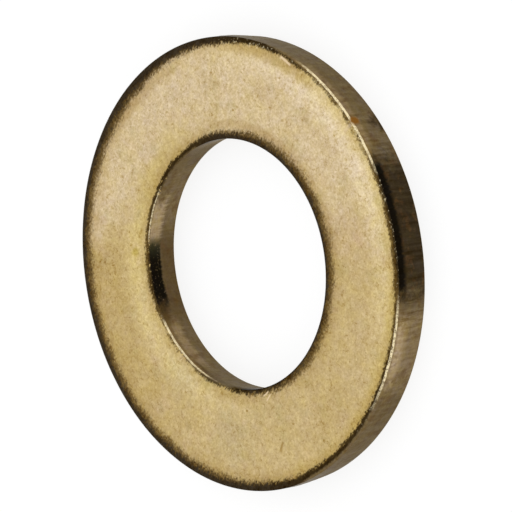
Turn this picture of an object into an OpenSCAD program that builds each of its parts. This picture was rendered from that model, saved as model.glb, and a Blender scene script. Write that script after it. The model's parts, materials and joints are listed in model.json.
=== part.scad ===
// Plain flat brass washer, blanked and pierced from strip in one press stroke, then tumbled.
// The strip's upper side is drawn down at both edges, the cut wall starts with a smooth
// cylindrical land and goes on as a rougher break that leans away from the punch, and
// tumbling has worn the two corners at the underside round.
// The washer lies on its underside at z = 0, with its axis on Z.

/* [Washer] */
// Outside diameter over the smooth land
outer_d = 37.3; // [30:0.1:60]
// Bore diameter at the smooth land, for a 3/4 inch bolt
bore_d = 20.6; // [8:0.1:22]
// Thickness of the strip
thickness = 3.15; // [2.4:0.05:6]

/* [Outer edge] */
// Width of the drawn-down band on the upper face
outer_roll_w = 0.8; // [0.5:0.05:1.4]
// Depth of the drawn-down band at the wall
outer_roll_h = 0.2; // [0.12:0.01:0.35]
// Height of the smooth land
outer_land_h = 1.15; // [0.4:0.05:1.5]
// How far the break leans in by the underside
outer_break = 0.2; // [0.05:0.01:0.5]

/* [Bore edge] */
// Width of the drawn-down band on the upper face
bore_roll_w = 0.65; // [0.5:0.05:1.4]
// Depth of the drawn-down band at the wall
bore_roll_h = 0.18; // [0.12:0.01:0.35]
// Height of the smooth land
bore_land_h = 1.2; // [0.4:0.05:1.5]
// How far the break leans out by the underside
bore_break = 0.24; // [0.05:0.01:0.5]

/* [Tumbled corners] */
// Radius where a drawn-down band meets its land
upper_corner_r = 0.09; // [0.03:0.01:0.1]
// Radius of the worn corners at the underside
under_corner_r = 0.12; // [0.05:0.01:0.25]

/* [Hidden] */
$fn = 180;

outer_r = outer_d / 2;
bore_r = bore_d / 2;
// Heights at which the smooth lands end and the breaks start
outer_land_z = thickness - outer_roll_h - outer_land_h;
bore_land_z = thickness - bore_roll_h - bore_land_h;
// How far a cutting shape runs past the surface that it cuts
past = 1;

// Angle of a break from the wall, for a lean over a height
function lean(over, height) = atan(over / height);

// Radius of the wide arc that leaves the face level and runs into the corner arc
function roll_arc_r(w, h, r) = (pow(w - r, 2) + pow(h, 2) - pow(r, 2)) / (2 * (h - r));

// What the press draws away at the top of a wall. The wall is the line x = 0 with the metal
// at x < 0, and the upper face is the line y = 0.
module drawn_away(w, h, r) {
    arc_r = roll_arc_r(w, h, r);
    // Angle at which the wide arc hands over to the corner arc
    turn = asin((w - r) / (arc_r - r));
    meet = [-w + arc_r * sin(turn), -arc_r + arc_r * cos(turn)];
    // Where the shared tangent of the two arcs meets the wall
    tip = [0, meet[1] + meet[0] * tan(turn)];
    difference() {
        translate([-w, -h]) square([w + past, h + past]);
        translate([-w, -arc_r]) circle(arc_r);
    }
    difference() {
        polygon([[-r, -h], meet, tip, [past, tip[1]], [past, -h]]);
        translate([-r, -h]) circle(r);
    }
}

// What tumbling wears off a corner at the underside. The corner is at the origin, with the
// face along y = 0 and the metal at x < 0 and y > 0, and the wall leans by an angle.
module worn_away(r, angle) {
    // Distance from the corner to where the round starts, along the face and along the wall
    reach = r * tan((90 - angle) / 2);
    // The wall goes up and outwards, so the corner is wider than square
    on_wall = [reach * sin(angle), reach * cos(angle)];
    difference() {
        polygon([[-reach, 0], [-reach, -past], [past, -past], [past, on_wall[1]], on_wall, [-reach, r]]);
        translate([-reach, r]) circle(r);
    }
}

// Half of the washer's cross-section, from the bore to the outside
module section() {
    difference() {
        polygon([
            [bore_r + bore_break, 0], [outer_r - outer_break, 0],
            [outer_r, outer_land_z], [outer_r, thickness],
            [bore_r, thickness], [bore_r, bore_land_z]
        ]);
        translate([outer_r, thickness]) drawn_away(outer_roll_w, outer_roll_h, upper_corner_r);
        translate([bore_r, thickness]) mirror([1, 0]) drawn_away(bore_roll_w, bore_roll_h, upper_corner_r);
        translate([outer_r - outer_break, 0])
            worn_away(under_corner_r, lean(outer_break, outer_land_z));
        translate([bore_r + bore_break, 0]) mirror([1, 0])
            worn_away(under_corner_r, lean(bore_break, bore_land_z));
    }
}

// The whole washer is one piece
module washer() {
    color([0.76, 0.67, 0.46]) rotate_extrude() section();
}

washer();
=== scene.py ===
import json
import math

import bpy
from mathutils import Matrix, Vector


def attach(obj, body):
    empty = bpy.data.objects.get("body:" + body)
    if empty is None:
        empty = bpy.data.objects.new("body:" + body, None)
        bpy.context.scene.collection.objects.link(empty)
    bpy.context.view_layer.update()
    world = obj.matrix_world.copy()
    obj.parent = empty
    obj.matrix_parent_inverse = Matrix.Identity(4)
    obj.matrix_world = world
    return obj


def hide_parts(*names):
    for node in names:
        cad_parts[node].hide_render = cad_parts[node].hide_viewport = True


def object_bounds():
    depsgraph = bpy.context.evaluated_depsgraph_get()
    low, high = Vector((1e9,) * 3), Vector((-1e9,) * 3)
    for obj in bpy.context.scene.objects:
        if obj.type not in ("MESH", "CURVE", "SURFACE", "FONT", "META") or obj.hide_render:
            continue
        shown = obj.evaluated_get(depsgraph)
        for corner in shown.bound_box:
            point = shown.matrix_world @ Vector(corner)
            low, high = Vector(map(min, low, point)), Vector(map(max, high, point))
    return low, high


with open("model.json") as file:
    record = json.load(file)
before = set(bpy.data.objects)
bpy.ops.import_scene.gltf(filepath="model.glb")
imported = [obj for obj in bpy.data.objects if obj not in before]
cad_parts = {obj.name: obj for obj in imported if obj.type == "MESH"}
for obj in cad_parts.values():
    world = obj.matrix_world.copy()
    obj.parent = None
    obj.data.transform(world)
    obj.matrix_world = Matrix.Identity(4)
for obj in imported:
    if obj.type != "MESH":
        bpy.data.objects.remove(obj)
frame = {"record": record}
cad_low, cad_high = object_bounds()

# The washer: one ring of brass, blanked and pierced from strip in one press stroke and then
# tumbled. Its upper face is drawn down at both edges, with painted dark reflections there, its cut
# wall starts as a smooth land and goes on as a torn break, with painted reflections on it, and it
# lies on its flat underside.
MM = 0.001
OUTER_R = cad_high.x
THICKNESS = cad_high.z
BORE_R = next(m["dims"]["r_mm"] for m in frame["record"]["mounts"] if m["name"] == "bore") * MM
# Each edge: width and depth of its drawn-down band, height of the land under it, lean of the break
OUTER_EDGE = dict(roll_w=0.80 * MM, roll_h=0.20 * MM, land_h=1.15 * MM, lean=0.20 * MM)
BORE_EDGE = dict(roll_w=0.65 * MM, roll_h=0.18 * MM, land_h=1.20 * MM, lean=0.24 * MM)
UPPER_CORNER_R = 0.09 * MM
UNDER_CORNER_R = 0.12 * MM
# The relief: score lines down the lands, tears in the break, and slow waves in the whole strip
SCORE_DEPTH = 0.016 * MM
TEAR_DEPTH = 0.070 * MM
WAVE_DEPTH = 0.030 * MM
# How finely the ring is cut into faces: steps around, and steps along each stretch of the section
STEPS_AROUND = 1200
STEPS = dict(face=14, roll=9, corner=4, land=6, torn=10, worn=3, underside=5)
# Points of the ring that lie closer than this are the same point
SEAM_GAP = 0.001 * MM


def arc(centre, radius, start, end, steps):
    """Points on an arc in the section's plane between two angles in degrees, without the last."""
    turns = [math.radians(start + (end - start) * i / steps) for i in range(steps)]
    return [(centre[0] + radius * math.cos(a), centre[1] + radius * math.sin(a)) for a in turns]


def straight(start, end, steps):
    """Points on a straight stretch of the section, without the last."""
    return [(start[0] + (end[0] - start[0]) * i / steps, start[1] + (end[1] - start[1]) * i / steps)
            for i in range(steps)]


def edge_profile(wall_r, edge):
    """One edge, from the border of the flat face to the foot of the wall: (kind, x, z) for each point."""
    w, h, r = edge["roll_w"], edge["roll_h"], UPPER_CORNER_R
    # The wide arc leaves the face level and hands over to the corner arc after this turn
    wide_r = ((w - r) ** 2 + h ** 2 - r ** 2) / (2 * (h - r))
    turn = math.degrees(math.asin((w - r) / (wide_r - r)))
    land_top = THICKNESS - h
    land_foot = land_top - edge["land_h"]
    tilt = math.atan(edge["lean"] / land_foot)
    foot = wall_r - edge["lean"]
    # The worn corner starts this far up the break, and ends this far in on the underside
    reach = UNDER_CORNER_R * math.tan((math.pi / 2 - tilt) / 2)
    worn_top = (foot + reach * math.sin(tilt), reach * math.cos(tilt))
    worn_centre = (foot - reach, UNDER_CORNER_R)
    stretches = {
        "drawn": arc((wall_r - w, THICKNESS - wide_r), wide_r, 90, 90 - turn, STEPS["roll"]),
        "corner": arc((wall_r - r, land_top), r, 90 - turn, 0, STEPS["corner"]),
        "land": straight((wall_r, land_top), (wall_r, land_foot), STEPS["land"]),
        "torn": straight((wall_r, land_foot), worn_top, STEPS["torn"]),
        "worn": arc(worn_centre, UNDER_CORNER_R, -math.degrees(tilt), -90, STEPS["worn"]),
        "foot": [(foot - reach, 0.0)],
    }
    return [(kind, x, z) for kind, points in stretches.items() for x, z in points]


def measured(edge):
    """The edge's points, each with how far along the surface it lies."""
    past = 0.0
    result = []
    for i, (kind, x, z) in enumerate(edge):
        if i:
            past += math.dist((x, z), edge[i - 1][1:])
        result.append((kind, x, z, past))
    return result


def section():
    """The ring's cross-section, once round: (kind, x, z, how far past the nearer edge's start)."""
    outer = measured(edge_profile(OUTER_R, OUTER_EDGE))
    # The bore's edge is such an edge mirrored at the wall
    bore = measured([(kind, 2 * BORE_R - x, z) for kind, x, z in edge_profile(BORE_R, BORE_EDGE)])
    face_in, face_out = bore[0][1], outer[0][1]
    foot_in, foot_out = bore[-1], outer[-1]
    face = [("flat", x, z, -min(x - face_in, face_out - x))
            for x, z in straight((face_in, THICKNESS), (face_out, THICKNESS), STEPS["face"])]
    underside = [("under", x, z, min(foot_out[3] + foot_out[1] - x, foot_in[3] + x - foot_in[1]))
                 for x, z in straight((foot_out[1], 0.0), (foot_in[1], 0.0), STEPS["underside"])[1:]]
    return face + outer + underside + bore[:0:-1]


def section_mesh():
    """The section as a closed row of points in the XZ plane, with the marks that the finish reads."""
    points = section()
    count = len(points)
    edges = [(i, (i + 1) % count) for i in range(count)]
    mesh = bpy.data.meshes.new("washer_section")
    mesh.from_pydata([(x, 0.0, z) for _, x, z, _ in points], edges, [])
    marks = {"past_edge": [past for _, _, _, past in points],
             "land": [float(kind == "land") for kind, _, _, _ in points],
             "torn": [float(kind == "torn") for kind, _, _, _ in points]}
    for name, values in marks.items():
        mesh.attributes.new(name, "FLOAT", "POINT").data.foreach_set("value", values)
    return mesh


class Nodes:
    """Adds nodes to a node tree and joins them, with one call for each node."""

    def __init__(self, tree):
        self.tree = tree

    def add(self, kind, inputs=(), out=0, **settings):
        """A node whose inputs are values or other nodes' outputs. Gives back one output, or the node."""
        node = self.tree.nodes.new(kind)
        for name, value in settings.items():
            setattr(node, name, value)
        for key, value in dict(inputs).items():
            if isinstance(value, bpy.types.NodeSocket):
                self.tree.links.new(value, node.inputs[key])
            else:
                node.inputs[key].default_value = value
        return node if out is None else node.outputs[out]

    def math(self, operation, a, b=0.0):
        return self.add("ShaderNodeMath", {0: a, 1: b}, operation=operation)

    def sum(self, *terms):
        total = terms[0]
        for term in terms[1:]:
            total = self.math("ADD", total, term)
        return total

    def product(self, *factors):
        total = factors[0]
        for factor in factors[1:]:
            total = self.math("MULTIPLY", total, factor)
        return total

    def less(self, a, b):
        return self.math("SUBTRACT", a, b)

    def vector(self, x, y, z):
        return self.add("ShaderNodeCombineXYZ", {0: x, 1: y, 2: z})

    def parts(self, vector):
        return self.add("ShaderNodeSeparateXYZ", {0: vector}, out=None).outputs[:]

    def scaled(self, vector, factor):
        return self.add("ShaderNodeVectorMath", {0: vector, "Scale": factor}, operation="SCALE")

    def ramp(self, value, low, high, to_low=0.0, to_high=1.0):
        """value carried smoothly from low..high to to_low..to_high, and held there outside."""
        # A smooth step never leaves its range, and a clamp after each would make Cycles run out of room
        return self.add("ShaderNodeMapRange", {0: value, 1: low, 2: high, 3: to_low, 4: to_high},
                        interpolation_type="SMOOTHSTEP", clamp=False)

    def noise(self, where, scale, detail=2.0, rough=0.5, seed=0.0):
        """Noise about nought, with so many grains to the unit of where."""
        inputs = {"Vector": where, "W": seed, "Scale": scale, "Detail": detail, "Roughness": rough}
        return self.less(self.add("ShaderNodeTexNoise", inputs, noise_dimensions="4D"), 0.5)

    def place(self, metres):
        """A position in millimetres, its height, its distance from the axis and its direction from it."""
        mm = self.scaled(metres, 1 / MM)
        x, y, z = self.parts(mm)
        radius = self.math("SQRT", self.sum(self.product(x, x), self.product(y, y)))
        return mm, z, radius, self.math("DIVIDE", x, radius), self.math("DIVIDE", y, radius)

    def down_wall(self, out_x, out_y, z, around, down):
        """Where to read a streaky noise, with so many grains to the millimetre around and down a wall."""
        turn = around * OUTER_R / MM
        return self.vector(self.product(out_x, turn), self.product(out_y, turn), self.product(z, down))


def pressed_ring():
    """Geometry nodes that turn the section into the ring, and score, tear and wave its surface."""
    tree = bpy.data.node_groups.new("pressed_ring", "GeometryNodeTree")
    tree.interface.new_socket("Geometry", in_out="INPUT", socket_type="NodeSocketGeometry")
    sockets = {}
    for name, kind in (("Steps Around", "NodeSocketInt"), ("Score Depth", "NodeSocketFloat"),
                       ("Tear Depth", "NodeSocketFloat"), ("Wave Depth", "NodeSocketFloat"),
                       ("Finish", "NodeSocketMaterial")):
        sockets[name] = tree.interface.new_socket(name, in_out="INPUT", socket_type=kind).identifier
    tree.interface.new_socket("Geometry", in_out="OUTPUT", socket_type="NodeSocketGeometry")
    n = Nodes(tree)
    given = tree.nodes.new("NodeGroupInput").outputs

    # A sheet of faces, one row for each step around and one column for each point of the section
    points = n.add("GeometryNodeAttributeDomainSize", {"Geometry": given["Geometry"]}, out="Point Count")
    columns = n.sum(points, 1.0)
    rows = n.sum(given["Steps Around"], 1.0)
    sheet = n.add("GeometryNodeMeshGrid", {"Vertices X": rows, "Vertices Y": columns}, out="Mesh")
    index = n.add("GeometryNodeInputIndex")
    row = n.math("FLOOR", n.math("DIVIDE", n.sum(index, 0.5), columns))
    column = n.math("FLOORED_MODULO", n.math("FLOORED_MODULO", index, columns), points)
    # Clockwise, so that the faces look outwards
    turn = n.product(n.math("DIVIDE", row, given["Steps Around"]), -2 * math.pi)

    def from_section(value, data_type):
        inputs = {"Geometry": given["Geometry"], "Value": value, "Index": column}
        return n.add("GeometryNodeSampleIndex", inputs, data_type=data_type, domain="POINT")

    def mark(name):
        return n.add("GeometryNodeInputNamedAttribute", {"Name": name}, data_type="FLOAT")

    x, _, z = n.parts(from_section(n.add("GeometryNodeInputPosition"), "FLOAT_VECTOR"))
    turned = n.vector(n.product(x, n.math("COSINE", turn)), n.product(x, n.math("SINE", turn)), z)
    ring = n.add("GeometryNodeSetPosition", {"Geometry": sheet, "Position": turned})
    for name in ("past_edge", "land", "torn"):
        ring = n.add("GeometryNodeStoreNamedAttribute",
                     {"Geometry": ring, "Name": name, "Value": from_section(mark(name), "FLOAT")},
                     data_type="FLOAT", domain="POINT")
    # The sheet's first row meets its last, and its first column meets its last
    ring = n.add("GeometryNodeMergeByDistance", {"Geometry": ring, "Distance": SEAM_GAP})

    # The relief, pushed in along the surface's own direction
    mm, z, _, out_x, out_y = n.place(n.add("GeometryNodeInputPosition"))
    scores = n.noise(n.down_wall(out_x, out_y, z, 1.4, 0.1), 1.0, 3.0)
    tears = n.sum(n.noise(n.down_wall(out_x, out_y, z, 1.8, 0.7), 1.0, 3.0),
                  n.noise(n.down_wall(out_x, out_y, z, 0.3, 0.3), 1.0, 1.0))
    depth = n.sum(n.product(scores, mark("land"), given["Score Depth"]),
                  n.product(tears, mark("torn"), given["Tear Depth"]),
                  n.product(n.noise(mm, 0.15), given["Wave Depth"]))
    inwards = n.scaled(n.add("GeometryNodeInputNormal"), n.product(depth, -1.0))
    ring = n.add("GeometryNodeSetPosition", {"Geometry": ring, "Offset": inwards})
    ring = n.add("GeometryNodeSetShadeSmooth", {"Geometry": ring})
    ring = n.add("GeometryNodeRealizeInstances", {"Geometry": ring})
    ring = n.add("GeometryNodeSetMaterial", {"Geometry": ring, "Material": given["Finish"]})
    n.add("NodeGroupOutput", {0: ring}, out=None)
    return tree, sockets


def screen(red, green, blue):
    """A colour as a screen shows it, 0 to 255, as the linear colour that a shader takes."""
    shares = [part / 255 for part in (red, green, blue)]
    return tuple(c / 12.92 if c <= 0.04045 else ((c + 0.055) / 1.055) ** 2.4 for c in shares)


# The face: straw, painted lighter on one side as light falls, with its tarnish and its marks
STRAW = screen(200, 176, 125)
LIT_STRAW = screen(213, 191, 150)
OCHRE = screen(191, 165, 106)
OLIVE = screen(184, 166, 112)
PINKISH = screen(206, 178, 138)
GREENISH = screen(188, 170, 124)
YELLOWISH = screen(199, 175, 108)
SPOT = screen(184, 160, 82)
SCRATCHED = screen(226, 202, 164)
# Painted highlights and glints along the sharp corner
BRIGHT = screen(248, 231, 188)
GOLD = screen(214, 184, 116)
# The drawn-down edges: painted dark reflections, near black
RIM_DARK = screen(49, 40, 29)
RIM_NEAR = screen(48, 35, 15)
RIM_BROWN = screen(92, 71, 35)
RIM_OLIVE = screen(118, 93, 44)
# The cut walls: brown, partly as painted shade, with painted reflections in lighter, darker
# and black stretches
WALL_BROWN = screen(114, 96, 65)
WALL_LIGHT = screen(178, 155, 117)
WALL_PALE = screen(144, 122, 86)
WALL_GREY = screen(120, 106, 82)
WALL_WARM = screen(128, 102, 58)
WALL_RUSTY = screen(96, 68, 38)
WALL_SHADE = screen(88, 68, 39)
WALL_DEEP = screen(50, 39, 23)
WALL_BLACK = screen(20, 16, 10)
WALL_GREEN = screen(48, 46, 29)
AMBER = screen(132, 88, 32)


class Finish(Nodes):
    """Nodes for the washer's finish, and what it is laid out by, with lengths in millimetres."""

    def __init__(self, tree):
        super().__init__(tree)
        position = self.add("ShaderNodeTexCoord", out="Object")
        self.at, self.z, self.radius, self.out_x, self.out_y = self.place(position)
        self.x, self.y, _ = self.parts(self.at)
        # How far past the start of the nearer drawn-down edge, and less than nought on the flat face
        self.past = self.product(self.mark("past_edge"), 1 / MM)
        self.at_outside = self.math("GREATER_THAN", self.radius, (OUTER_R + BORE_R) / 2 / MM)
        self.in_bore = self.less(1.0, self.at_outside)
        # Which way an edge faces: out from the axis at the outside, and towards it in the bore
        side = self.less(self.at_outside, self.in_bore)
        self.face_x, self.face_y = self.product(self.out_x, side), self.product(self.out_y, side)
        # Noise that runs down the wall in streaks, and noise that is as long as it is wide
        streaky = self.down_wall(self.out_x, self.out_y, self.z, 3.0, 0.35)
        self.streaks = self.noise(streaky, 1.0, 4.0, 0.65)
        self.crumbs = self.noise(self.at, 1.8, 4.0, 0.7, seed=11.0)

    def mark(self, name):
        return self.add("ShaderNodeAttribute", out="Fac", attribute_name=name)

    def mix(self, below, above, share):
        # Colours are mixed as vectors, since Cycles runs short of room when they change kind too often
        return self.add("ShaderNodeMix", {0: share, 4: below, 5: above}, out=1, data_type="VECTOR")

    def gained(self, colour, gains, amount):
        """The colour with its red, green and blue each raised by its own gain times the amount."""
        gains = self.add("ShaderNodeVectorMath", {0: self.scaled(gains, amount), 1: (1.0, 1.0, 1.0)},
                         operation="ADD")
        return self.add("ShaderNodeVectorMath", {0: colour, 1: gains}, operation="MULTIPLY")

    def shade(self, colour, amount):
        """The colour lighter or darker by an amount about nought, evenly as a screen shows it."""
        return self.gained(colour, (0.80, 1.02, 1.50), amount)

    def cool(self, colour, amount):
        """The colour made paler and bluer, or yellower, by an amount about nought."""
        return self.gained(colour, (-0.12, -0.10, 0.80), amount)

    def across(self, degrees):
        """The sine of the angle from that direction to the one that an edge faces."""
        turn = math.radians(degrees)
        return self.less(self.product(self.face_y, math.cos(turn)),
                         self.product(self.face_x, math.sin(turn)))

    def beyond(self, value, soft, ragged):
        """1 where a value is well over nought and 0 where it is well under, with a soft, ragged step."""
        return self.ramp(self.sum(self.product(value, 1 / soft), ragged), -1.0, 1.0)

    def stretch(self, start, end):
        """Where an edge faces between two directions, each with its softness in degrees."""
        ragged = self.product(self.crumbs, 3.0)
        softness = [math.sin(math.radians(degrees)) for _, degrees in (start, end)]
        after = self.beyond(self.across(start[0]), softness[0], ragged)
        before = self.beyond(self.product(self.across(end[0]), -1.0), softness[1], ragged)
        return self.product(after, before)

    def layer(self, top, foot):
        """Where a point lies between two distances past the edge's start, each with its softness."""
        drips = self.product(self.streaks, 3.5)
        return self.product(self.beyond(self.less(self.past, top[0]), top[1], drips),
                            self.beyond(self.less(foot[0], self.past), foot[1], drips))

    def blot(self, x, y, reach, ragged=0.0):
        """A round patch of the face, ragged at its border."""
        away = self.add("ShaderNodeVectorMath", {0: self.at, 1: (x, y, THICKNESS / MM)},
                        out="Value", operation="DISTANCE")
        return self.ramp(self.sum(away, self.product(ragged, reach)), reach * 0.2, reach, 1.0, 0.0)

    def stroke(self, start, end, width):
        """A straight stroke on the face from one point to another."""
        way = Vector(end) - Vector(start)
        along = way.normalized()
        x, y = self.less(self.x, start[0]), self.less(self.y, start[1])
        run = self.sum(self.product(x, along.x), self.product(y, along.y))
        off = self.math("ABSOLUTE", self.sum(self.product(y, along.x), self.product(x, -along.y),
                                             self.product(self.crumbs, 0.15)))
        return self.product(self.ramp(off, width * 0.3, width, 1.0, 0.0), self.ramp(run, -0.1, 0.15),
                            self.ramp(run, way.length - 0.15, way.length + 0.1, 1.0, 0.0))

    def curls(self, scale, width, seed):
        """Short curling lines at random places."""
        winding = self.math("ABSOLUTE", self.noise(self.at, scale, 3.0, 0.65, seed=seed))
        lines = self.ramp(winding, 0.0, width, 1.0, 0.0)
        return self.product(lines, self.ramp(self.noise(self.at, 2.5, 2.0, seed=seed + 0.5), 0.02, 0.10))


# Patches of tarnish on the face: x, y and reach in millimetres, colour, and how much of it
FACE_PATCHES = (
    (-14.3, 3.2, 3.2, GREENISH, 0.38),
    (-8.5, 8.5, 2.6, GREENISH, 0.40),
    (0.5, -13.5, 3.0, PINKISH, 0.30),
    (-12.0, -8.5, 3.0, OCHRE, 0.35),
    (-17.0, 6.0, 2.5, OCHRE, 0.50),
    (0.4, -14.5, 0.9, PINKISH, 0.70),
    (2.3, 11.7, 0.7, SPOT, 1.00),
    (9.5, 7.0, 1.2, YELLOWISH, 0.70),
)


def face_finish(n):
    """Straw painted lighter on one side as light falls, and deeper on the other, in soft patches, with
    grain and curls.
    """
    # Painted light: the face is lighter towards one side, in soft patches
    drift = n.sum(n.x, n.product(n.sum(n.product(n.out_y, 1.05), 1.05), n.less(n.radius, 15.7)),
                  n.product(n.noise(n.at, 0.22, 4.0), 9.0), -1.5)
    colour = n.mix(STRAW, LIT_STRAW, n.ramp(drift, -4.0, 5.0))
    # Ochre towards the outside on one side, and yellower all along that side of the bore
    slow = n.noise(n.at, 0.5, 3.0, seed=16.0)
    ochre = n.product(n.ramp(n.out_y, 0.50, 0.95),
                      n.ramp(n.sum(n.out_x, n.product(slow, 0.5)), 0.40, 0.10),
                      n.ramp(n.sum(n.radius, n.product(slow, 4.0)), 12.2, 14.2))
    colour = n.mix(colour, OCHRE, n.product(ochre, 0.85))
    by_bore = n.product(n.ramp(n.out_y, -0.10, 0.45),
                        n.ramp(n.sum(n.radius, n.product(slow, 3.0)), 13.7, 11.7))
    colour = n.mix(colour, YELLOWISH, n.product(by_bore, n.ramp(n.out_x, -0.7, 0.25, 0.28, 0.65)))
    for seed, tarnish, share in ((3.0, OLIVE, 0.55), (8.0, PINKISH, 0.42)):
        cloud = n.ramp(n.noise(n.at, 0.6, 4.0, 0.6, seed=seed), 0.0, 0.25)
        colour = n.mix(colour, tarnish, n.product(cloud, share))
    ragged = n.product(n.noise(n.at, 0.7, 3.0, 0.6, seed=12.0), 1.6)
    for x, y, reach, tarnish, share in FACE_PATCHES:
        colour = n.mix(colour, tarnish, n.product(n.blot(x, y, reach, ragged), share))
    grain = n.sum(n.product(n.noise(n.at, 0.5, 2.0, 0.5, seed=13.0), 0.35),
                  n.product(n.noise(n.at, 2.4, 2.0, 0.6), 0.8),
                  n.product(n.noise(n.at, 5.0, 3.0, 0.75, seed=4.0), 1.5))
    # Dark and light curls all over, and a knot of dark ones in one place
    colour = n.shade(colour, n.sum(
        n.product(grain, 0.8),
        n.product(n.curls(1.7, 0.045, 21.0), -0.30),
        n.product(n.curls(2.3, 0.03, 22.0), 0.16),
        n.product(n.curls(3.0, 0.06, 27.0), n.blot(1.4, 14.8, 3.0, ragged), -0.45)))
    colour = n.cool(colour, n.sum(n.product(n.noise(n.at, 1.3, 3.0, 0.6, seed=25.0), 0.55),
                                  n.product(n.noise(n.at, 0.35, 2.0, seed=26.0), 0.35)))
    return colour, grain


def edge_finish(n, face):
    """The drawn-down edges: painted dark reflections, near black, ragged at the border, wide on one
    side and narrow on the other, with painted light and shade on the face beside them.
    """
    near = n.ramp(n.across(200), 0.3, 0.95)
    far_shadow = n.product(n.ramp(n.past, -1.9, -0.7), n.ramp(n.face_y, 0.2, 0.8), -0.14)
    # Painted light and shade on the face beside the bands: lighter stretches and darker, shaded ones
    face = n.shade(face, n.sum(
        n.product(n.ramp(n.past, -2.8, -1.2), near, 0.18),
        far_shadow,
        n.product(n.ramp(n.past, -0.8, 0.1), n.ramp(n.face_y, 0.2, -0.4), -0.20),
        n.product(n.ramp(n.past, -0.9, -0.2), n.stretch((320, 6), (346, 8)), n.at_outside, -0.21),
        n.product(n.ramp(n.past, -1.5, -0.8), n.ramp(n.past, -0.1, -0.6), n.at_outside,
                  n.stretch((14, 6), (44, 8)), -0.22),
        n.product(n.ramp(n.past, -1.2, -0.6), n.at_outside, n.stretch((152, 6), (186, 6)), -0.10),
        n.product(n.ramp(n.past, -1.2, -0.7), n.ramp(n.past, -0.1, -0.6), n.in_bore,
                  n.sum(n.product(n.stretch((86, 8), (174, 6)), -0.11),
                        n.product(n.stretch((146, 6), (186, 6)), -0.10))),
        n.product(n.ramp(n.past, -1.4, -0.8), n.stretch((307, 5), (334, 8)), n.in_bore, 0.11),
        n.product(n.ramp(n.past, -0.7, -0.1), n.ramp(n.face_y, -0.4, 0.1), -0.09)))
    face = n.cool(face, n.product(n.ramp(n.past, -1.1, 0.0), n.ramp(n.face_y, 0.3, -0.4),
                                  n.at_outside, -0.20))

    # The band's border is fuzzy with hair-like marks, which all lie about the same way
    hairs = n.noise(n.vector(n.less(n.x, n.y), n.product(n.sum(n.x, n.y), 4.5), n.z), 1.0, 3.0, 0.6)
    far = n.ramp(n.face_y, -0.5, 0.65)
    wider = n.sum(n.product(n.stretch((20, 6), (48, 8)), n.at_outside, 0.10),
                  n.product(n.stretch((345, 8), (72, 10)), n.in_bore, -0.10),
                  n.product(n.stretch((5, 5), (86, 8)), n.in_bore, -0.08),
                  n.product(n.stretch((168, 6), (192, 6)), n.in_bore, 0.08))
    ragged = n.sum(n.product(hairs, 1.3),
                   n.product(n.noise(n.at, 0.6, 2.0, 0.6, seed=5.0), 0.6),
                   n.product(n.noise(n.at, 5.0, 3.0, 0.7, seed=6.0), 1.25))
    fuzz = n.sum(wider, n.product(ragged, n.sum(0.58, n.product(far, 0.47))))

    # Where the border lies and how soft it is, with the stretches where it slips down or up
    slip = n.sum(n.product(n.stretch((308, 6), (344, 6)), 0.20),
                 n.product(n.stretch((338, 4), (352, 4)), 0.08),
                 n.product(n.in_bore, n.stretch((278, 5), (312, 5)), 0.16),
                 n.product(n.at_outside, n.sum(n.product(n.stretch((256, 6), (279, 4)), -0.09),
                                               n.product(n.stretch((280, 3), (294, 4)), 0.05),
                                               n.product(n.stretch((188, 5), (216, 5)), -0.07),
                                               n.product(n.stretch((98, 8), (160, 6)), 0.05))))
    middle = n.sum(n.ramp(n.face_y, -0.40, 0.88, 0.22, -0.45), slip)
    soft = n.sum(n.ramp(n.face_y, -0.3, 0.7, 0.17, 0.38), n.product(n.stretch((196, 6), (230, 5)), -0.06))
    dark = n.ramp(n.sum(n.past, fuzz), n.less(middle, soft), n.sum(middle, soft))
    # The band is broken where the painted highlight runs along the corner
    gaps = n.ramp(n.noise(n.at, 2.4, 2.0, 0.6, seed=33.0), 0.10, -0.10, 0.0, 0.65)
    dark = n.product(dark, n.less(1.0, n.product(n.stretch((292, 5), (318, 5)), gaps)))

    olive = n.ramp(n.noise(n.at, 2.2, 3.0, 0.7, seed=17.0), -0.05, 0.15)
    rim = n.mix(RIM_BROWN, RIM_OLIVE, n.product(olive, 0.6))
    deep = n.product(n.ramp(n.sum(n.past, fuzz), -0.1, 0.45),
                     n.ramp(n.across(190), 0.6, 0.95, 0.95, 0.15))
    rim = n.mix(rim, n.mix(RIM_DARK, RIM_NEAR, n.ramp(n.face_y, 0.1, -0.3)), deep)
    # Blackest over the painted black reflections on the walls
    black = n.sum(n.product(n.at_outside, n.stretch((259, 3), (287, 3)), 0.75),
                  n.product(n.in_bore, n.stretch((256, 4), (282, 5)), 0.45))
    low = n.ramp(n.sum(n.past, n.product(n.crumbs, 0.5)), 0.36, 0.54)
    rim = n.mix(rim, WALL_BLACK, n.product(black, low))
    rim = n.shade(rim, n.sum(n.product(n.noise(n.at, 5.0, 3.0, 0.7, seed=7.0), 2.4),
                             n.product(hairs, 2.0),
                             n.product(n.noise(n.at, 1.2, 2.0, 0.6, seed=24.0), 1.5)))
    face = n.mix(face, rim, dark)
    # Single lighter and darker hairs across the border of the painted band
    border = n.product(dark, n.less(1.0, dark), 4.0)
    stray = n.sum(n.product(hairs, 1.5), n.product(n.curls(1.9, 0.06, 23.0), -0.5))
    return n.shade(face, n.product(border, stray)), dark, fuzz


# Scratches on the face: start, end and width in millimetres, and how dark or how bright
DARK_SCRATCHES = (
    ((15.30, -9.60), (14.60, -11.00), 0.35, -0.22),
    ((-14.80, -2.41), (-15.62, -1.90), 0.17, -0.38),
)
BRIGHT_SCRATCHES = (
    ((15.95, -8.95), (15.08, -9.95), 0.15, 1.0),
    ((-11.34, -1.22), (-10.82, -1.81), 0.10, 0.9),
    ((-10.95, -0.95), (-10.60, -1.60), 0.10, 0.9),
    ((9.05, -14.80), (9.60, -15.70), 0.25, 0.5),
)
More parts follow.
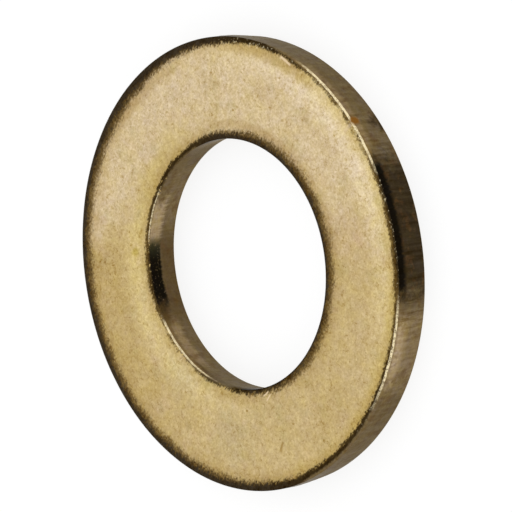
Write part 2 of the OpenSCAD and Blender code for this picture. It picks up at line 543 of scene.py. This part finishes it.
# Pits in the face: x and y in millimetres, and how dark
PITS = ((12.42, -2.57, -0.55), (-11.95, 1.25, -0.55), (1.89, 15.65, -0.35), (0.96, 13.20, -0.35))
PIT_REACH = 0.16


def single_marks(n, colour):
    """Dark and bright scratches on the face, and pits."""
    for start, end, width, amount in DARK_SCRATCHES:
        colour = n.shade(colour, n.product(n.stroke(start, end, width), amount))
    for start, end, width, share in BRIGHT_SCRATCHES:
        colour = n.mix(colour, SCRATCHED, n.product(n.stroke(start, end, width), share))
    for x, y, amount in PITS:
        colour = n.shade(colour, n.product(n.blot(x, y, PIT_REACH), amount))
    return colour


# Painted reflections on the walls: stretches in another brown, lighter or darker by the way the wall
# faces. Each row has the wall, the directions in degrees between which it faces, the distances past
# the edge's start in millimetres between which it lies, each with its softness, then the brown and
# how much of it.
WALL_STRETCHES = (
    ("outer", (230, 5), (252, 3), (0.60, 0.1), (3.80, 0.10), WALL_PALE, 0.60),
    ("bore", (215, 8), (245, 8), (1.70, 0.4), (3.80, 0.10), WALL_PALE, 0.35),
    ("bore", (234, 7), (253, 3), (0.60, 0.1), (1.85, 0.35), WALL_LIGHT, 0.80),
    ("bore", (252, 8), (292, 8), (1.80, 0.3), (3.80, 0.10), WALL_SHADE, 0.75),
    ("bore", (291, 4), (319, 6), (1.15, 0.2), (2.10, 0.40), WALL_PALE, 0.90),
    ("bore", (317, 4), (340, 6), (0.90, 0.1), (1.35, 0.20), WALL_SHADE, 0.95),
    ("bore", (349, 5), (390, 8), (0.60, 0.1), (2.60, 0.50), WALL_DEEP, 0.90),
    ("bore", (160, 6), (194, 6), (0.50, 0.1), (3.80, 0.10), WALL_PALE, 0.50),
    ("both", (290, 3), (328, 8), (0.60, 0.1), (1.00, 0.20), WALL_WARM, 0.80),
    ("outer", (295, 4), (322, 5), (0.80, 0.1), (1.40, 0.30), WALL_PALE, 0.80),
    ("bore", (281, 3), (293, 4), (0.60, 0.1), (1.70, 0.50), WALL_SHADE, 1.00),
    ("both", (325, 8), (385, 8), (0.80, 0.3), (3.80, 0.10), WALL_GREY, 0.40),
    ("outer", (255, 6), (291, 5), (1.00, 0.4), (3.80, 0.10), WALL_DEEP, 0.92),
)


def wall_finish(n):
    """The cut wall: brown, streaked from top to bottom, with lighter, darker and black stretches
    that are painted reflections.
    """
    walls = {"outer": n.at_outside, "bore": n.in_bore, "both": 1.0}
    rust = n.ramp(n.noise(n.at, 1.1, 3.0, 0.6, seed=14.0), 0.02, 0.16)
    grey = n.ramp(n.noise(n.at, 0.8, 3.0, 0.6, seed=15.0), 0.0, 0.2)
    colour = n.mix(WALL_BROWN, WALL_GREY, n.product(grey, 0.4))
    for wall, start, end, top, foot, tone, share in WALL_STRETCHES:
        there = n.product(n.stretch(start, end), n.layer(top, foot), share, walls[wall])
        colour = n.mix(colour, tone, there)
    # A painted reflection: a light patch near the top of the outer wall
    light = n.product(n.stretch((234, 4), (249, 4)), n.ramp(n.past, 0.65, 0.95), n.at_outside,
                      n.ramp(n.sum(n.past, n.product(n.crumbs, 0.7)), 1.1, 2.2, 1.0, 0.0))
    colour = n.mix(colour, WALL_LIGHT, n.product(light, 0.9))
    colour = n.mix(colour, WALL_RUSTY, n.product(rust, 0.48))
    # A painted dark reflection: a black patch near the top of the outer wall
    black = n.product(n.stretch((256, 3), (290.5, 3)), n.layer((0.58, 0.1), (1.36, 0.25)), n.at_outside)
    colour = n.mix(colour, WALL_BLACK, black)
    # A painted dark reflection: a black patch near the top of the bore's wall, wavy below, green at
    # one end, with a few light specks
    waves = n.sum(n.past, n.product(n.noise(n.at, 0.55, 2.0, seed=30.0), 0.6), n.product(n.streaks, 0.5))
    black = n.product(n.stretch((253.5, 4), (284, 6)), n.in_bore,
                      n.ramp(n.sum(n.past, n.product(n.crumbs, 0.3)), 0.50, 0.64),
                      n.ramp(waves, 1.72, 2.02, 1.0, 0.0))
    patch = n.mix(WALL_GREEN, WALL_BLACK, n.ramp(n.across(258), -0.07, 0.10))
    specks = n.ramp(n.noise(n.at, 4.0, 3.0, 0.75, seed=31.0), 0.07, 0.22)
    patch = n.mix(patch, WALL_PALE, n.product(specks, 0.7))
    colour = n.mix(colour, patch, black)
    # Streaks and crumbs, strongest on the torn break and where the outer wall is dark
    busy = n.product(n.sum(n.product(n.stretch((247, 5), (296, 6)), 1.9), 0.4), n.at_outside)
    torn = n.mark("torn")
    colour = n.shade(colour, n.sum(n.product(n.streaks, n.sum(0.5, n.product(torn, 0.4), busy)),
                                   n.product(torn, 0.14), n.product(n.crumbs, 0.85),
                                   n.product(n.noise(n.at, 5.0, 3.0, 0.7, seed=2.0), 0.7)))
    colour = n.cool(colour, n.product(n.noise(n.at, 1.6, 3.0, 0.6, seed=32.0), 1.2))
    # Darker and mottled towards the foot, over the worn corner
    foot = n.ramp(n.z, 0.22, 0.04)
    return n.shade(colour, n.product(foot, n.sum(-0.25, n.product(n.crumbs, 1.2))))


def corner_highlights(n, colour):
    """Painted highlights along the sharp corner, broken in places, and painted glints where they give out.
    """
    patchy = n.ramp(n.noise(n.at, 4.5, 3.0, 0.75, seed=18.0), -0.13, 0.07, 0.15, 1.0)
    wander = n.product(n.noise(n.at, 1.2, 3.0, 0.7, seed=19.0), 0.16)
    # The long line slants across the corner, and the short one keeps to it
    slant = n.sum(n.less(n.past, n.product(n.across(310), n.less(0.38, n.product(n.in_bore, 0.21)))),
                  n.product(n.in_bore, 0.02), wander)
    where = n.sum(n.product(n.stretch((290, 4), (323, 3)), n.at_outside),
                  n.product(n.stretch((291, 4), (330, 5)), n.in_bore))
    long = n.product(where, n.ramp(slant, 0.60, 0.65), n.ramp(slant, 0.79, 0.85, 1.0, 0.0),
                     n.math("MAXIMUM", patchy, 0.5))
    short = n.product(n.stretch((229, 5), (253, 3)), n.ramp(n.sum(n.past, wander), 0.45, 0.53),
                      n.ramp(n.sum(n.past, wander, n.product(n.in_bore, 0.10)), 0.65, 0.73, 1.0, 0.0),
                      patchy, n.less(1.0, n.product(n.in_bore, 0.2)))
    flecks = n.product(
        n.ramp(n.noise(n.at, 4.0, 2.0, 0.7, seed=9.0), 0.07, 0.17),
        n.sum(n.product(n.stretch((219, 5), (326, 6)), n.layer((0.44, 0.06), (0.68, 0.06))),
              n.product(n.stretch((328, 6), (352, 5)), n.layer((0.15, 0.1), (0.80, 0.1)), 0.50)),
        n.less(0.85, n.product(n.at_outside, n.stretch((216, 5), (286, 5)), 0.4)))
    colour = n.mix(colour, n.mix(BRIGHT, GOLD, n.in_bore), flecks)
    return n.mix(colour, BRIGHT, n.math("MAXIMUM", long, short))


# The drop and the run under it: the direction in degrees that the wall faces there, and how far in
# millimetres past the edge's start the drop's middle lies and the run ends
DROP_FACING = 301.9
DROP_PAST = 1.02
RUN_FACING = 300.9
RUN_END = 2.55


def amber_drop(n, colour):
    """A drop of amber lacquer on the outer wall, with a dark run under it."""
    aside = n.math("ABSOLUTE", n.product(n.across(DROP_FACING), OUTER_R / MM))
    below = n.product(n.less(n.past, DROP_PAST), 0.85)
    away = n.math("SQRT", n.sum(n.product(aside, aside), n.product(below, below),
                                n.product(n.crumbs, 0.03)))
    # across() is nought on the opposite side of the washer too
    this_side = n.product(n.at_outside, n.ramp(n.across(212), 0.3, 0.7))
    drop = n.product(n.ramp(n.sum(away, n.product(n.crumbs, 0.3)), 0.20, 0.52, 1.0, 0.0), this_side)
    aside = n.math("ABSOLUTE", n.product(n.across(RUN_FACING), OUTER_R / MM * 0.65))
    tapered = n.sum(aside, n.product(n.less(RUN_END, n.past), 0.5), n.product(n.crumbs, 1.2))
    run = n.product(n.ramp(tapered, -0.25, 0.35, 1.0, 0.0), this_side,
                    n.ramp(n.noise(n.at, 2.5, 3.0, 0.7, seed=34.0), -0.15, 0.12, 0.30, 0.85))
    return n.mix(n.mix(colour, WALL_DEEP, run), AMBER, drop)


def brass():
    """Tumbled brass, with its tarnish, grain, scratches and pits, and painted shade, reflections and
    highlights.
    """
    material = bpy.data.materials.new("tumbled_brass")
    material.use_nodes = True
    material.node_tree.nodes.clear()
    n = Finish(material.node_tree)
    plain, grain = face_finish(n)
    # Painted dark reflections on the drawn-down edges, and painted light and shade beside them
    face, dark, fuzz = edge_finish(n, plain)
    face = single_marks(n, face)
    # The dark band runs over the corner on the side where it is wide
    wall_start = n.sum(n.ramp(n.face_y, -0.3, 0.0, 0.60, 1.30),
                       n.product(n.stretch((335, 4), (358, 10)), n.at_outside, 0.26),
                       n.product(n.stretch((325, 3), (338, 4)), n.at_outside, 0.08))
    on_wall = n.ramp(n.less(n.sum(n.past, n.product(fuzz, 0.3)), wall_start), -0.10, 0.12)
    # The cut walls, with their painted reflections and painted shade
    colour = n.mix(face, wall_finish(n), on_wall)
    # Painted highlights and glints along the corner
    colour = corner_highlights(n, colour)
    colour = amber_drop(n, colour)
    # The underside has the upper face's straw, a little duller
    under = n.ramp(n.z, 0.10, 0.03)
    colour = n.mix(colour, n.mix(plain, OLIVE, 0.35), under)
    above = n.less(1.0, under)

    torn = n.mark("torn")
    roughness = n.sum(0.40, n.product(dark, above, -0.05), n.product(torn, above, 0.15),
                      n.product(grain, 0.2))
    relief = n.sum(grain, n.product(n.streaks, n.ramp(n.past, 0.5, 0.9), above))
    bump = n.add("ShaderNodeBump", {"Strength": 0.5, "Distance": 0.02 * MM, "Height": relief})
    tint = n.mix((1.0, 1.0, 1.0), (0.62, 0.60, 0.56), n.product(n.ramp(n.past, -0.4, 0.4), above))
    # Painted shade: the bore's wall is nearly black on one side
    shaded = n.product(n.in_bore, n.stretch((343, 5), (388, 8)), n.ramp(n.past, 0.3, 0.6),
                       n.ramp(n.past, 1.8, 0.9))
    tint = n.mix(tint, (0.28, 0.27, 0.25), shaded)
    shader = n.add("ShaderNodeBsdfPrincipled", {"Base Color": colour, "Metallic": 1.0,
                                                "Roughness": roughness, "Specular Tint": tint,
                                                "Normal": bump})
    n.add("ShaderNodeOutputMaterial", {"Surface": shader}, out=None)
    return material


outline = bpy.data.objects.new("washer_section", section_mesh())
bpy.context.scene.collection.objects.link(outline)
modifier = outline.modifiers.new("pressed_ring", "NODES")
modifier.node_group, sockets = pressed_ring()
for name, value in (("Steps Around", STEPS_AROUND), ("Score Depth", SCORE_DEPTH),
                    ("Tear Depth", TEAR_DEPTH), ("Wave Depth", WAVE_DEPTH), ("Finish", brass())):
    modifier[sockets[name]] = value
ring_mesh = bpy.data.meshes.new_from_object(outline.evaluated_get(bpy.context.evaluated_depsgraph_get()))
outline.modifiers.remove(modifier)
outline_mesh = outline.data
bpy.data.objects.remove(outline)
bpy.data.meshes.remove(outline_mesh)
washer = bpy.data.objects.new("brass_washer", ring_mesh)
bpy.context.scene.collection.objects.link(washer)
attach(washer, "root")
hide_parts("washer")

# The floor: a plain white sheet that the washer lies on. It shows white to the camera and in the
# metal, and keeps the washer's own soft shadow.
FLOOR_SIZE = 1.6
# Just under the lowest point of the slightly wavy underside
FLOOR_Z = -0.01 * MM
FLOOR_PAINT = (0.22, 0.22, 0.22, 1.0)
FLOOR_GLOW = 0.81


def floor_paint():
    """Matt paint that glows only in what the camera and the metal see, so that it shows white there."""
    material = bpy.data.materials.new("floor_paint")
    material.use_nodes = True
    material.node_tree.nodes.clear()
    n = Nodes(material.node_tree)
    rays = n.add("ShaderNodeLightPath", out=None).outputs
    seen = n.math("MAXIMUM", rays["Is Camera Ray"], rays["Is Glossy Ray"])
    seen = n.math("MAXIMUM", seen, rays["Is Transmission Ray"])
    matt = n.add("ShaderNodeBsdfDiffuse", {"Color": FLOOR_PAINT})
    glow = n.add("ShaderNodeEmission", {"Color": (1.0, 1.0, 1.0, 1.0),
                                        "Strength": n.product(seen, FLOOR_GLOW)})
    both = n.add("ShaderNodeAddShader", {0: matt, 1: glow})
    n.add("ShaderNodeOutputMaterial", {"Surface": both}, out=None)
    return material


half = FLOOR_SIZE / 2
floor_mesh = bpy.data.meshes.new("floor")
corners = [(x, y, FLOOR_Z) for x, y in ((-half, -half), (half, -half), (half, half), (-half, half))]
floor_mesh.from_pydata(corners, [], [(0, 1, 2, 3)])
floor_mesh.materials.append(floor_paint())
floor = bpy.data.objects.new("floor", floor_mesh)
bpy.context.scene.collection.objects.link(floor)

# The light: a white room that is equally bright all round, with no lamps, so that the metal shows
# no hard reflections.
world = bpy.data.worlds.new("white_room")
bpy.context.scene.world = world
world.use_nodes = True
background = world.node_tree.nodes["Background"]
background.inputs["Color"].default_value = (1.0, 1.0, 1.0, 1.0)
background.inputs["Strength"].default_value = 1.0

# The camera: a long lens that looks down at the washer from 43.6 degrees, rolled onto its side, so
# that the washer stands on its edge in the picture.
CAMERA_AT = Vector((0.0, -283.73, 270.47)) * MM
CAMERA_AIM = Vector((0.438, -2.619, 3.15)) * MM
CAMERA_ROLL = math.radians(-98.75)
LENS_MM = 336.4
SENSOR_MM = 36.0
camera_data = bpy.data.cameras.new("camera")
camera_data.lens = LENS_MM
camera_data.sensor_width = SENSOR_MM
camera_data.clip_start = 0.01
camera_data.clip_end = 10.0
camera = bpy.data.objects.new("camera", camera_data)
aimed = (CAMERA_AIM - CAMERA_AT).to_track_quat("-Z", "Y").to_matrix().to_4x4()
camera.matrix_world = Matrix.Translation(CAMERA_AT) @ aimed @ Matrix.Rotation(CAMERA_ROLL, 4, "Z")
bpy.context.scene.collection.objects.link(camera)
bpy.context.scene.camera = camera
bpy.context.scene.view_settings.view_transform = "Standard"
